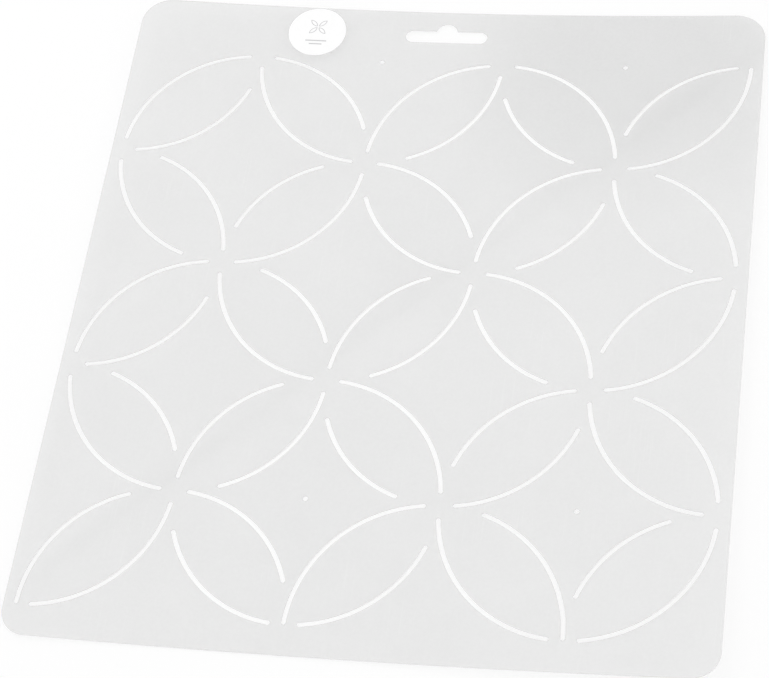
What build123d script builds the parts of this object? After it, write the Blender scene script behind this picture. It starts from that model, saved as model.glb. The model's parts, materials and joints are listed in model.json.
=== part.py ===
from build123d import *
import os
from math import degrees

# A quilting template: one thin, flexible, frosted plastic sheet with a pattern of
# overlapping circles cut through it as narrow slots for a marking pencil, and one
# round paper label on its top face.
# Frame: the origin is under the middle of the sheet, +X to the right, +Y towards the
# edge with the hang slot, +Z up out of the face that carries the label.
# All lengths are in millimetres.

# The pattern: a square grid, and circles centred on every other point of it that
# pass through the points between, which are the crossings.
CIRCLE_R = 50.8  # 4 in circles
SQUARES = 5  # squares on a side, each CIRCLE_R wide, so the pattern is 10 in by 10 in
SLOT_W = 1.7
NEAR_GAP = 5.0  # from a crossing to the tip of a slot that runs up close to it
HELD_GAP = 16.6  # from a crossing to a slot held back to leave a bridge of sheet
MIRRORED_ROW = 1  # the row of crossings whose bridges are mirrored

# The sheet
SHEET_W = 263.5
SHEET_H = 293.0
SHEET_T = 0.5
BOTTOM_MARGIN = 12.0  # from the sheet's bottom edge to the lowest crossings
TOP_CORNER_R = 12.7
BOTTOM_CORNER_R = 10.2

# The hang slot, a long slot with a round bump in the middle of its upper side
HANG_SLOT_L = 34.5
HANG_SLOT_H = 6.1
HANG_BUMP_W = 8.8
HANG_TOTAL_H = 9.8
HANG_ABOVE_PATTERN = 14.2

# The pin holes, at four circle centres, that hold the sheet in place on the cloth
PIN_HOLE_R = 1.0
PIN_HOLES = [(2, 1), (4, 1), (2, 5), (4, 5)]  # grid points

# The label
LABEL_R = 12.25
LABEL_T = 0.1
LABEL_FROM_LEFT = 76.5
LABEL_ABOVE_PATTERN = 14.3

PATTERN_SIZE = SQUARES * CIRCLE_R
PATTERN_LEFT = -PATTERN_SIZE / 2
PATTERN_BOTTOM = -SHEET_H / 2 + BOTTOM_MARGIN
PATTERN_TOP = PATTERN_BOTTOM + PATTERN_SIZE


def grid_point(i, j):
    """Where point (i, j) of the grid is, counted from its bottom left corner."""
    return (PATTERN_LEFT + i * CIRCLE_R, PATTERN_BOTTOM + j * CIRCLE_R)


def bridge_hand(i, j):
    """Which of two touching circles is held back at crossing (i, j): +1 or -1.

    The hand alternates along each row of crossings.
    """
    hand = 1 if (i // 2) % 2 else -1
    return -hand if j == MIRRORED_ROW else hand


def tip_gap(i, j, side, rise, upright):
    """How far short of crossing (i, j) a quarter circle's slot stops.

    The quarter lies towards side (+1 right, -1 left) and rise (+1 up, -1 down) of
    its circle's centre, and runs upright or level where it meets the crossing.
    """
    beyond = i + side if upright else j + rise
    has_rival = 0 <= beyond <= SQUARES
    turn = side * rise if upright else -side * rise
    if has_rival and turn == bridge_hand(i, j):
        return HELD_GAP
    on_bottom_row = j == 0
    at_top_right = i == SQUARES and j == SQUARES
    if upright and (on_bottom_row or at_top_right):
        return 0.0
    return NEAR_GAP


def quarter_slot(i, j, side, rise):
    """The slot along one quarter of the circle centred on grid point (i, j)."""
    side_gap = tip_gap(i + side, j, side, rise, upright=True)
    rise_gap = tip_gap(i, j + rise, side, rise, upright=False)
    side_angle = degrees((side_gap + SLOT_W / 2) / CIRCLE_R)
    rise_angle = degrees((rise_gap + SLOT_W / 2) / CIRCLE_R)
    turn = side * rise
    start = (0 if side > 0 else 180) + turn * side_angle
    sweep = turn * (90 - side_angle - rise_angle)
    return SlotArc(CenterArc(grid_point(i, j), CIRCLE_R, start, sweep), SLOT_W)


def pattern_slots():
    """Two facing quarter circles in every square, which meet at its crossings."""
    slots = []
    for i in range(SQUARES):
        for j in range(SQUARES):
            if (i + j) % 2:
                slots.append(quarter_slot(i, j, 1, 1))
                slots.append(quarter_slot(i + 1, j + 1, -1, -1))
            else:
                slots.append(quarter_slot(i + 1, j, -1, 1))
                slots.append(quarter_slot(i, j + 1, 1, -1))
    return slots


def pin_holes():
    return [Pos(*grid_point(i, j)) * Circle(PIN_HOLE_R) for i, j in PIN_HOLES]


def hang_slot():
    slot_y = PATTERN_TOP + HANG_ABOVE_PATTERN
    bump_y = slot_y - HANG_SLOT_H / 2 + HANG_TOTAL_H - HANG_BUMP_W / 2
    long_slot = Pos(0, slot_y) * SlotOverall(HANG_SLOT_L, HANG_SLOT_H)
    return long_slot + Pos(0, bump_y) * Circle(HANG_BUMP_W / 2)


def outline():
    """The sheet's outline, with slightly larger corners at the top."""
    square_cornered = Rectangle(SHEET_W, SHEET_H)
    top_corners = square_cornered.vertices().group_by(Axis.Y)[-1]
    top_rounded = fillet(top_corners, TOP_CORNER_R)
    bottom_corners = top_rounded.vertices().group_by(Axis.Y)[0]
    return fillet(bottom_corners, BOTTOM_CORNER_R)


def template_sheet():
    holes = [*pattern_slots(), *pin_holes(), hang_slot()]
    return extrude(outline() - holes, SHEET_T)


def label():
    disc = extrude(Circle(LABEL_R), LABEL_T)
    return Pos(LABEL_FROM_LEFT - SHEET_W / 2, PATTERN_TOP + LABEL_ABOVE_PATTERN, SHEET_T) * disc


os.makedirs("parts", exist_ok=True)
for make_node in (template_sheet, label):
    export_step(make_node(), f"parts/{make_node.__name__}.step")
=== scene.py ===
import bpy
import json
import numpy as np
from math import acos, asin, cos, pi, radians, sin, sqrt
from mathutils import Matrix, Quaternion, Vector
from mathutils.geometry import delaunay_2d_cdt


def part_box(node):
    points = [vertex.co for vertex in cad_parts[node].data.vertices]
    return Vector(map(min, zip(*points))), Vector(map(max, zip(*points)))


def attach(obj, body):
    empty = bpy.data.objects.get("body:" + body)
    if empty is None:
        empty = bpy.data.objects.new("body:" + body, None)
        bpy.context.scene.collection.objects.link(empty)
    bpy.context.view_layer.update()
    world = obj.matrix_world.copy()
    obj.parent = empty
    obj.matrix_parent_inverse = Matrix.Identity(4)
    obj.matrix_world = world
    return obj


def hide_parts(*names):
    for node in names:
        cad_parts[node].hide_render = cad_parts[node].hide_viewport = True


# A quilting template: a frosted plastic sheet with a pattern of overlapping circles cut
# through it as pencil slots, and a round paper label. Lengths are in metres.
MM = 0.001

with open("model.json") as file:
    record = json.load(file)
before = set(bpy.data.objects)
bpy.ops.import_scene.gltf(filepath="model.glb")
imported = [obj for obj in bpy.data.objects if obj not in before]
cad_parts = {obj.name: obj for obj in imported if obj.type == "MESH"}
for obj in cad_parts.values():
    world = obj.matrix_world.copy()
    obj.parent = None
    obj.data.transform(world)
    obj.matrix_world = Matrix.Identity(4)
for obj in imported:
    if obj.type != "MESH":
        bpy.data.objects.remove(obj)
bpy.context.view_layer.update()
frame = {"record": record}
SHEET_LOW, SHEET_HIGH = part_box("template_sheet")
LABEL_LOW, LABEL_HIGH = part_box("label")
MOUNTS = {mount["name"]: mount for mount in frame["record"]["mounts"]}

# The sheet and its pattern. Circles are centred on every other point of a square grid,
# and pass through the points between, which are the crossings.
PIN_SIZES = MOUNTS["pin_holes"]["dims"]
PIN_MIDDLE = MOUNTS["pin_holes"]["pos_m"]
PIN_GRID_POINTS = [(2, 1), (4, 1), (2, 5), (4, 5)]
PIN_MIDDLE_GRID_POINT = (3, 3)
PIN_HOLE_R = PIN_SIZES["hole_r_mm"] * MM
CIRCLE_R = PIN_SIZES["spacing_x_mm"] * MM / 2
SQUARES = 5
SLOT_W = 1.7 * MM
NEAR_GAP = 5.0 * MM  # from a crossing to the tip of a slot that runs up close to it
HELD_GAP = 16.6 * MM  # from a crossing to a slot held back to leave a bridge of sheet
MIRRORED_ROW = 1  # the row of crossings whose bridges are mirrored
TOP_CORNER_R = 12.7 * MM
BOTTOM_CORNER_R = 10.2 * MM
HANG_MIDDLE = MOUNTS["hang_slot"]["pos_m"]
HANG_SLOT_L = 34.5 * MM
HANG_SLOT_H = 6.1 * MM
HANG_BUMP_W = 8.8 * MM
HANG_TOTAL_H = 9.8 * MM

# How the sheet lies: a slight curl, as part of a wide cylinder. Its lowest line runs through
# the sheet's middle, at the height where the flat sheet's underside would be.
CURL_R = 1748 * MM
CURL_TURN = radians(17.3)  # from +X towards -Y, the direction that curls
ACROSS = np.array((cos(CURL_TURN), -sin(CURL_TURN)))
ALONG = np.array((sin(CURL_TURN), cos(CURL_TURN)))

# Mesh fineness
CUT_EDGE_R = 0.08 * MM  # the slight rounding that the cutter leaves on every edge
EDGE_STEPS = 2
BOUNDARY_STEP = 1.8 * MM
FACE_STEP = 4.0 * MM
CLEAR_STEPS = 0.62  # how near, in steps, a point inside a face comes to its outlines
MERGE_DISTANCE = 1e-9  # points nearer than this to each other would become one
CAP_POINTS = 8
PIN_HOLE_POINTS = 24

# The camera, which looks at a point near the sheet's middle
VIEW_AZIMUTH = radians(22.30)
VIEW_ELEVATION = radians(57.73)
VIEW_DISTANCE = 843.1 * MM
VIEW_TARGET = Vector((-5.5, -13.3, 0.0)) * MM
VIEW_ROLL = radians(-16.57)
LENS_MM = 102.2


# ---------------------------------------------------------------- outlines, in the flat

def grid_point(i, j):
    """Where point (i, j) of the pattern's grid is, counted from its bottom left corner."""
    right = i - PIN_MIDDLE_GRID_POINT[0]
    up = j - PIN_MIDDLE_GRID_POINT[1]
    return np.array((PIN_MIDDLE[0] + right * CIRCLE_R, PIN_MIDDLE[1] + up * CIRCLE_R))


def arc(centre, radius, start, sweep, count):
    """count points along an arc, its two ends included."""
    angles = start + sweep * np.linspace(0, 1, count)
    return np.asarray(centre) + radius * np.column_stack((np.cos(angles), np.sin(angles)))


def steps_along(length):
    return max(2, round(length / BOUNDARY_STEP) + 1)


def line(start, end, count):
    """Points along a straight run, without its two ends."""
    return np.linspace(start, end, count)[1:-1]


def sheet_outline(inset):
    """The sheet's rounded rectangle, moved inwards by inset, anticlockwise."""
    left, bottom = SHEET_LOW.x + inset, SHEET_LOW.y + inset
    right, top = SHEET_HIGH.x - inset, SHEET_HIGH.y - inset
    low_r, high_r = BOTTOM_CORNER_R - inset, TOP_CORNER_R - inset
    count = 2 * CAP_POINTS
    corners = [
        arc((right - low_r, bottom + low_r), low_r, -pi / 2, pi / 2, count),
        arc((right - high_r, top - high_r), high_r, 0, pi / 2, count),
        arc((left + high_r, top - high_r), high_r, pi / 2, pi / 2, count),
        arc((left + low_r, bottom + low_r), low_r, pi, pi / 2, count),
    ]
    parts = []
    for corner, following in zip(corners, corners[1:] + corners[:1]):
        run = np.linalg.norm(following[0] - corner[-1])
        parts += [corner, line(corner[-1], following[0], steps_along(run))]
    return np.vstack(parts)


def round_hole(centre, radius, count):
    def loop(inset):
        return arc(centre, radius + inset, 0, -2 * pi, count + 1)[:-1]
    return loop


def arc_slot(centre, start, sweep):
    """A function that gives the slot's outline, clockwise, moved into the sheet by inset."""
    if sweep > 0:
        start, sweep = start + sweep, -sweep
    count = steps_along(CIRCLE_R * abs(sweep))
    tips = arc(centre, CIRCLE_R, start, sweep, 2)

    def loop(inset):
        half = SLOT_W / 2 + inset
        outer = arc(centre, CIRCLE_R + half, start, sweep, count)
        end_cap = arc(tips[1], half, start + sweep, -pi, CAP_POINTS)[1:-1]
        inner = arc(centre, CIRCLE_R - half, start + sweep, -sweep, count)
        start_cap = arc(tips[0], half, start + pi, -pi, CAP_POINTS)[1:-1]
        return np.vstack((outer, end_cap, inner, start_cap))
    return loop


def hang_slot(inset):
    """The hang slot's outline, clockwise: a long slot with a round bump on its upper side."""
    x, y = HANG_MIDDLE[:2]
    half_h = HANG_SLOT_H / 2 + inset
    reach = (HANG_SLOT_L - HANG_SLOT_H) / 2
    bump_r = HANG_BUMP_W / 2 + inset
    bump_y = y - HANG_SLOT_H / 2 + HANG_TOTAL_H - HANG_BUMP_W / 2
    foot = asin((y + half_h - bump_y) / bump_r)  # where the bump leaves the upper side
    bump = arc((x, bump_y), bump_r, pi - foot, -pi + 2 * foot, 2 * CAP_POINTS)
    right_cap = arc((x + reach, y), half_h, pi / 2, -pi, 2 * CAP_POINTS)
    left_cap = arc((x - reach, y), half_h, -pi / 2, -pi, 2 * CAP_POINTS)
    beside_bump = steps_along(reach - HANG_BUMP_W / 2)
    return np.vstack((
        bump,
        line(bump[-1], right_cap[0], beside_bump),
        right_cap,
        line(right_cap[-1], left_cap[0], steps_along(2 * reach)),
        left_cap,
        line(left_cap[-1], bump[0], beside_bump),
    ))


def bridge_hand(i, j):
    """Which of two touching circles is held back at crossing (i, j): +1 or -1."""
    hand = 1 if (i // 2) % 2 else -1
    return -hand if j == MIRRORED_ROW else hand


def tip_gap(i, j, side, rise, upright):
    """How far short of crossing (i, j) a quarter circle's slot stops.

    The quarter lies towards side (+1 right, -1 left) and rise (+1 up, -1 down) of
    its circle's centre, and runs upright or level where it meets the crossing.
    """
    beyond = i + side if upright else j + rise
    turn = side * rise if upright else -side * rise
    if 0 <= beyond <= SQUARES and turn == bridge_hand(i, j):
        return HELD_GAP
    if upright and (j == 0 or i == j == SQUARES):
        return 0.0
    return NEAR_GAP


def quarter_slot(i, j, side, rise):
    """The slot along one quarter of the circle centred on grid point (i, j)."""
    side_gap = tip_gap(i + side, j, side, rise, upright=True)
    rise_gap = tip_gap(i, j + rise, side, rise, upright=False)
    side_angle = (side_gap + SLOT_W / 2) / CIRCLE_R
    rise_angle = (rise_gap + SLOT_W / 2) / CIRCLE_R
    turn = side * rise
    start = (0 if side > 0 else pi) + turn * side_angle
    return arc_slot(grid_point(i, j), start, turn * (pi / 2 - side_angle - rise_angle))


def pattern_slots():
    """Two facing quarter circles in every square, which meet at its crossings."""
    slots = []
    for i in range(SQUARES):
        for j in range(SQUARES):
            if (i + j) % 2:
                slots += [quarter_slot(i, j, 1, 1), quarter_slot(i + 1, j + 1, -1, -1)]
            else:
                slots += [quarter_slot(i + 1, j, -1, 1), quarter_slot(i, j + 1, 1, -1)]
    return slots


# ---------------------------------------------------------------- meshes

def curled(flat, normals):
    """Points and normals of the flat sheet as they lie when it's curled."""
    across, along = flat[:, :2] @ ACROSS, flat[:, :2] @ ALONG
    turn = across / CURL_R
    reach = CURL_R - flat[:, 2]
    moved = np.outer(reach * np.sin(turn), ACROSS) + np.outer(along, ALONG)
    points = np.column_stack((moved, CURL_R - reach * np.cos(turn)))
    n_across, n_along = normals[:, :2] @ ACROSS, normals[:, :2] @ ALONG
    level = n_across * np.cos(turn) - normals[:, 2] * np.sin(turn)
    upward = n_across * np.sin(turn) + normals[:, 2] * np.cos(turn)
    turned = np.outer(level, ACROSS) + np.outer(n_along, ALONG)
    return points, np.column_stack((turned, upward))


def filled(loops, printed, step):
    """Triangles that fill the first loop and leave out the others, with points inside.

    printed are loops that enclose ink, with the odd-even rule. Returns the points, which
    start with those of the loops in order, the triangles, and which of them are inked.
    """
    outlines = [*loops, *printed]
    rim = np.vstack(outlines)
    low, high = rim.min(0), rim.max(0)
    row_h = step * sqrt(3) / 2
    inside = []
    for number, y in enumerate(np.arange(low[1] + row_h / 2, high[1], row_h)):
        xs = np.arange(low[0] + step / (2 if number % 2 else 1), high[0], step)
        inside += [(x, y) for x in xs if np.hypot(*(rim - (x, y)).T).min() > CLEAR_STEPS * step]
    points = np.vstack((rim, inside))
    faces, first = [], 0
    for loop in outlines:
        numbers = list(range(first, first + len(loop)))
        faces.append(numbers if area(loop) > 0 else numbers[::-1])
        first += len(loop)
    vectors = [Vector(point) for point in points]
    _, _, triangles, sources, _, owners = delaunay_2d_cdt(vectors, [], faces, 0, MERGE_DISTANCE)
    kept, inked = [], []
    for triangle, owner in zip(triangles, owners):
        in_hole = any(0 < number < len(loops) for number in owner)
        if 0 in owner and not in_hole:
            kept.append([sources[corner][0] for corner in triangle])
            inked.append(sum(number >= len(loops) for number in owner) % 2)
    return points, np.array(kept), inked


def area(loop):
    """The area a loop encloses, negative if it runs clockwise."""
    x, y = loop.T
    return (x @ np.roll(y, -1) - y @ np.roll(x, -1)) / 2


def rounded_rings(bottom, top, edge_r):
    """(inset, height, tilt) of each ring of points from a plate's top face to its bottom."""
    tilts = [pi / 2 * k / EDGE_STEPS for k in range(EDGE_STEPS + 1)]
    upper = [(edge_r * (1 - sin(t)), top - edge_r * (1 - cos(t)), pi / 2 - t) for t in tilts]
    lower = [(inset, bottom + top - height, -tilt) for inset, height, tilt in reversed(upper)]
    return upper + lower


def outward(loop):
    """For each point of a loop, the direction out of the plate's material."""
    run = np.roll(loop, -1, 0) - np.roll(loop, 1, 0)
    run /= np.linalg.norm(run, axis=1)[:, None]
    return np.column_stack((run[:, 1], -run[:, 0]))


def plate(name, outline, holes, bottom, top, edge_r, step, materials, printed=()):
    """A curled plate with rounded edges and true holes, as one closed mesh.

    outline and holes are functions that give a loop for an inset, and printed are loops
    that enclose ink. The materials are for the faces, the cut edges and the ink.
    """
    makers = [outline, *holes]
    rings = rounded_rings(bottom, top, edge_r)
    face_points, triangles, inked = filled([make(edge_r) for make in makers], printed, step)
    used = np.unique(triangles)
    new_number = np.zeros(len(face_points), int)
    new_number[used] = np.arange(len(used))
    face_points, triangles = face_points[used], new_number[triangles]
    count = len(face_points)
    up = np.tile((0.0, 0.0, 1.0), (count, 1))
    points = [np.column_stack((face_points, np.full(count, z))) for z in (top, bottom)]
    normals = [up, -up]
    faces = [*triangles.tolist(), *(triangles[:, ::-1] + count).tolist()]
    slots = [2 * ink for ink in inked] + [0] * len(triangles)
    next_number, rim_start = 2 * count, 0
    for make in makers:
        size = len(make(0))
        numbers = [np.arange(rim_start, rim_start + size)]
        out = outward(make(0))
        for inset, height, tilt in rings[1:-1]:
            points.append(np.column_stack((make(inset), np.full(size, height))))
            normals.append(np.column_stack((out * cos(tilt), np.full(size, sin(tilt)))))
            numbers.append(np.arange(next_number, next_number + size))
            next_number += size
        numbers.append(numbers[0] + count)
        rim_start += size
        for upper, lower in zip(numbers, numbers[1:]):
            quads = (upper, lower, np.roll(lower, -1), np.roll(upper, -1))
            faces += np.column_stack(quads).tolist()
            slots += [1] * size
    points, normals = curled(np.vstack(points), np.vstack(normals))
    mesh = bpy.data.meshes.new(name)
    mesh.from_pydata(points.tolist(), [], faces)
    for material in materials:
        mesh.materials.append(material)
    mesh.polygons.foreach_set("material_index", slots)
    mesh.shade_smooth()
    mesh.normals_split_custom_set_from_vertices(normals.tolist())
    piece = bpy.data.objects.new(name, mesh)
    bpy.context.collection.objects.link(piece)
    return piece


# ---------------------------------------------------------------- materials

class Finish:
    """A node material round one Principled shader, with places in the object's metres."""

    def __init__(self, name, **settings):
        self.material = bpy.data.materials.new(name)
        self.material.use_nodes = True
        self.tree = self.material.node_tree
        self.shader = self.tree.nodes["Principled BSDF"]
        for socket, value in settings.items():
            self.shader.inputs[socket.replace("_", " ")].default_value = value
        self.place = self.tree.nodes.new("ShaderNodeTexCoord").outputs["Object"]

    def node(self, kind, output, inputs, **settings):
        """Adds a node, sets or links its inputs, and returns one of its outputs."""
        made = self.tree.nodes.new(f"ShaderNode{kind}")
        for setting, value in settings.items():
            setattr(made, setting, value)
        for socket, value in inputs.items():
            if isinstance(value, bpy.types.NodeSocket):
                self.tree.links.new(value, made.inputs[socket])
            else:
                made.inputs[socket].default_value = value
        return made.outputs[output]

    def noise(self, size, detail=2.0, stretch=None, turn=0.0):
        """Noise with features of about size, or drawn out into streaks along one way."""
        place = self.place
        if stretch:
            place = self.node("Mapping", "Vector", {
                "Vector": place, "Rotation": (0, 0, turn), "Scale": (1, 1 / stretch, 1),
            })
        return self.node("TexNoise", "Fac", {
            "Vector": place, "Scale": 1 / size, "Detail": detail,
        })

    def ranged(self, value, low, high, from_low=0.3, from_high=0.7):
        """The value's usual spread, carried over to low..high."""
        return self.node("MapRange", "Result", {
            "Value": value, "From Min": from_low, "From Max": from_high,
            "To Min": low, "To Max": high,
        })

    def total(self, *values):
        """The sum of some outputs."""
        result = values[0]
        for value in values[1:]:
            result = self.node("Math", "Value", {0: result, 1: value}, operation="ADD")
        return result

    def colour(self, base, shade):
        """Paints the surface in base, lightened or darkened by shade, about 1."""
        painted = self.node("VectorMath", "Vector", {0: base, "Scale": shade}, operation="SCALE")
        self.tree.links.new(painted, self.shader.inputs["Base Color"])

    def roughness(self, value):
        self.tree.links.new(value, self.shader.inputs["Roughness"])

    def relief(self, *heights):
        """Bumps from (height output, depth in metres) pairs."""
        normal = None
        for height, depth in heights:
            inputs = {"Height": height, "Distance": depth, "Strength": 1.0}
            if normal:
                inputs["Normal"] = normal
            normal = self.node("Bump", "Normal", inputs)
        self.tree.links.new(normal, self.shader.inputs["Normal"])


def scratches(finish, turn):
    """Sparse, very fine hairlines from handling, near 0 between them and 1 on them."""
    streaks = finish.noise(0.5 * MM, 1.0, stretch=90.0, turn=turn)
    patches = finish.noise(35 * MM, 1.0)
    fine = finish.ranged(streaks, 0.0, 1.0, 0.66, 0.74)
    worn = finish.ranged(patches, 0.0, 1.0, 0.5, 0.65)
    return finish.node("Math", "Value", {0: fine, 1: worn}, operation="MULTIPLY")


def milky(finish, dense, body, depth_colour, shade):
    """Lets light through the finish.

    dense is the share that doesn't go straight through. Of that share, body is what the
    Principled shader shows, and the rest goes on through, spread and tinted.
    """
    tint = finish.node("VectorMath", "Vector", {0: depth_colour, "Scale": shade}, operation="SCALE")
    spread = finish.node("BsdfTranslucent", "BSDF", {"Color": tint})
    clear = finish.node("BsdfTransparent", "BSDF", {})
    own = finish.shader.outputs["BSDF"]
    milk = finish.node("MixShader", "Shader", {0: body, 1: spread, 2: own})
    seen = finish.node("MixShader", "Shader", {0: dense, 1: clear, 2: milk})
    finish.tree.links.new(seen, finish.tree.nodes["Material Output"].inputs["Surface"])


PAINTED_SHADE_MIDDLE = Vector((82.0, 122.0, 2.0)) * MM  # the middle of a soft patch of painted shade, where the sheet is painted darker


def frosted_sheet():
    """Milky polypropylene with a fine matt grain, slight clouding, handling hairlines and a soft
    patch of painted shade towards the top right.
    """
    finish = Finish("frosted_sheet", IOR=1.49)
    clouding = finish.noise(45 * MM, 3.0)
    flecks = finish.noise(1.1 * MM, 2.0)
    grain = finish.noise(0.28 * MM, 1.0)
    ripple = finish.noise(14 * MM, 1.0)
    # A soft round patch of painted shade: up to 6.5% darker, fading out between 30 and 80 mm from
    # its middle.
    from_painted_shade = finish.node(
        "VectorMath", "Value", {0: finish.place, 1: PAINTED_SHADE_MIDDLE}, operation="DISTANCE",
    )
    hairlines = finish.total(*(scratches(finish, radians(turn)) for turn in (24, 97, 151)))
    shade = finish.total(
        finish.ranged(clouding, 0.992, 1.008), finish.ranged(flecks, -0.012, 0.012),
        # the painted shade patch
        finish.ranged(from_painted_shade, -0.065, 0.0, 30 * MM, 80 * MM),
        finish.ranged(hairlines, 0.0, 0.03, 0.0, 1.0),
    )
    finish.colour((0.80, 0.80, 0.80), shade)
    finish.roughness(finish.total(
        finish.ranged(grain, 0.40, 0.50), finish.ranged(hairlines, 0.0, -0.12, 0.0, 1.0),
    ))
    finish.relief((ripple, 0.03 * MM), (grain, 0.006 * MM), (hairlines, -0.004 * MM))
    milky(finish, 0.45, 0.22, (0.84, 0.84, 0.84), shade)
    return finish.material


def sheet_cut_edge():
    """The cut walls of the sheet and its slots: denser to look into, with fine cutting marks."""
    finish = Finish("sheet_cut_edge", IOR=1.49)
    marks = finish.noise(0.12 * MM, 1.0)
    patches = finish.noise(6 * MM, 2.0)
    shade = finish.total(finish.ranged(patches, 0.96, 1.02), finish.ranged(marks, -0.03, 0.03))
    finish.colour((0.70, 0.70, 0.70), shade)
    finish.roughness(finish.ranged(marks, 0.35, 0.55))
    finish.relief((marks, 0.01 * MM))
    milky(finish, 0.5, 0.25, (0.74, 0.74, 0.74), shade)
    return finish.material


def paper(name, base, roughness):
    """Coated label paper, or the ink on it: faint fibres and a slightly uneven gloss."""
    finish = Finish(name)
    fibres = finish.noise(0.35 * MM, 3.0, stretch=4.0, turn=radians(30))
    cloud = finish.noise(4 * MM, 2.0)
    finish.colour(base, finish.total(
        finish.ranged(fibres, -0.012, 0.012), finish.ranged(cloud, 0.99, 1.01),
    ))
    finish.roughness(finish.ranged(cloud, roughness - 0.04, roughness + 0.04))
    finish.relief((fibres, 0.008 * MM))
    return finish.material


# ---------------------------------------------------------------- the label's printing

PETAL_L = 4.6 * MM
PETAL_GAP = 0.35 * MM
INK_LINE = 0.32 * MM
PETAL_POINTS = 9
MOTIF_ABOVE_MIDDLE = 2.6 * MM
BARS = [(9.0 * MM, -4.6 * MM), (5.5 * MM, -6.3 * MM)]  # length, and height above the middle
BAR_H = 0.55 * MM


def petal(foot, turn, inset):
    """A pointed petal between two quarter circles, from foot in the direction turn."""
    full_r = PETAL_L / sqrt(2)
    offset = PETAL_L / 2
    radius = full_r - inset
    spread = acos(offset / radius)
    right = arc((0, offset), radius, -pi / 2 - spread, 2 * spread, PETAL_POINTS)[:-1]
    loop = np.vstack((right, -right)) + (PETAL_L / 2, 0)
    turned = np.array(((cos(turn), sin(turn)), (-sin(turn), cos(turn))))
    return loop @ turned + foot


def bar(middle, length, height):
    half = np.array(((-1, -1), (1, -1), (1, 1), (-1, 1))) * (length / 2, height / 2)
    return half + middle


def label_printing(middle):
    """A small outlined rosette of four petals, with two plain bars under it."""
    heart = middle + (0, MOTIF_ABOVE_MIDDLE)
    loops = []
    for quarter in range(4):
        turn = pi / 4 + quarter * pi / 2
        foot = heart + PETAL_GAP * np.array((cos(turn), sin(turn)))
        loops += [petal(foot, turn, 0), petal(foot, turn, INK_LINE)]
    loops += [bar(middle + (0, height), length, BAR_H) for length, height in BARS]
    return loops


# ---------------------------------------------------------------- the pieces

PAPER_EDGE_R = 0.02 * MM
PAPER_STEP = 1.2 * MM
ADHESIVE_GAP = 0.003 * MM
LABEL_RIM_POINTS = 120

sheet = plate(
    "template_sheet_curled", sheet_outline,
    [*pattern_slots(), hang_slot, *(
        round_hole(grid_point(i, j), PIN_HOLE_R, PIN_HOLE_POINTS) for i, j in PIN_GRID_POINTS
    )],
    SHEET_LOW.z, SHEET_HIGH.z, CUT_EDGE_R, FACE_STEP, [frosted_sheet(), sheet_cut_edge()],
)
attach(sheet, "root")
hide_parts("template_sheet")

LABEL_MIDDLE = np.array((LABEL_LOW + LABEL_HIGH)[:2]) / 2
LABEL_R = (LABEL_HIGH.x - LABEL_LOW.x) / 2
white = paper("label_paper", (0.93, 0.93, 0.93), 0.42)
ink = paper("label_ink", (0.55, 0.55, 0.56), 0.5)
label = plate(
    "label_printed",
    lambda inset: arc(LABEL_MIDDLE, LABEL_R - inset, 0, 2 * pi, LABEL_RIM_POINTS + 1)[:-1],
    [], LABEL_LOW.z + ADHESIVE_GAP, LABEL_HIGH.z, PAPER_EDGE_R, PAPER_STEP,
    [white, white, ink], label_printing(LABEL_MIDDLE),
)
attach(label, "root")
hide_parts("label")


# ---------------------------------------------------------------- the studio

FLOOR_SIZE = 20.0
FLOOR_COLOUR = (0.35, 0.35, 0.35)
FLOOR_GLOW = 0.60  # the floor is a white light table, softly lit from below
FLOOR_DROP = 0.3 * MM  # a floor that touched the sheet would show as a dark band where they meet
SKY_STRENGTH = 0.93
SKY_COLOUR = (1.0, 1.0, 1.0)


def floor():
    half = FLOOR_SIZE / 2
    mesh = bpy.data.meshes.new("floor")
    rim = [(-half, -half), (half, -half), (half, half), (-half, half)]
    corners = [(x, y, -FLOOR_DROP) for x, y in rim]
    mesh.from_pydata(corners, [], [(0, 1, 2, 3)])
    finish = Finish(
        "floor_white", Roughness=0.7, Base_Color=(*FLOOR_COLOUR, 1.0),
        Emission_Color=(1.0, 1.0, 1.0, 1.0), Emission_Strength=FLOOR_GLOW,
    )
    mesh.materials.append(finish.material)
    made = bpy.data.objects.new("floor", mesh)
    bpy.context.collection.objects.link(made)


def sky():
    world = bpy.data.worlds.new("studio")
    world.use_nodes = True
    background = world.node_tree.nodes["Background"]
    background.inputs["Color"].default_value = (*SKY_COLOUR, 1.0)
    background.inputs["Strength"].default_value = SKY_STRENGTH
    bpy.context.scene.world = world


def softbox(name, place, size, power):
    """A square area light that points at the middle of the sheet."""
    lamp = bpy.data.lights.new(name, "AREA")
    lamp.size = size
    lamp.energy = power
    made = bpy.data.objects.new(name, lamp)
    made.location = place
    made.rotation_mode = "QUATERNION"
    made.rotation_quaternion = (-Vector(place)).to_track_quat("-Z", "Y")
    bpy.context.collection.objects.link(made)


def camera():
    lens = bpy.data.cameras.new("camera")
    lens.lens = LENS_MM
    lens.clip_start = 10 * MM
    made = bpy.data.objects.new("camera", lens)
    back = Vector((
        sin(VIEW_AZIMUTH) * cos(VIEW_ELEVATION),
        -cos(VIEW_AZIMUTH) * cos(VIEW_ELEVATION),
        sin(VIEW_ELEVATION),
    ))
    made.location = VIEW_TARGET + back * VIEW_DISTANCE
    made.rotation_mode = "QUATERNION"
    level = (-back).to_track_quat("-Z", "Y")
    made.rotation_quaternion = level @ Quaternion((0, 0, 1), VIEW_ROLL)
    bpy.context.collection.objects.link(made)
    bpy.context.scene.camera = made


floor()
sky()
softbox("key", (-0.7, 0.5, 1.3), 1.2, 3.2)
softbox("fill", (0.9, -0.6, 1.1), 1.2, 1.6)
camera()
bpy.context.scene.view_settings.view_transform = "Standard"
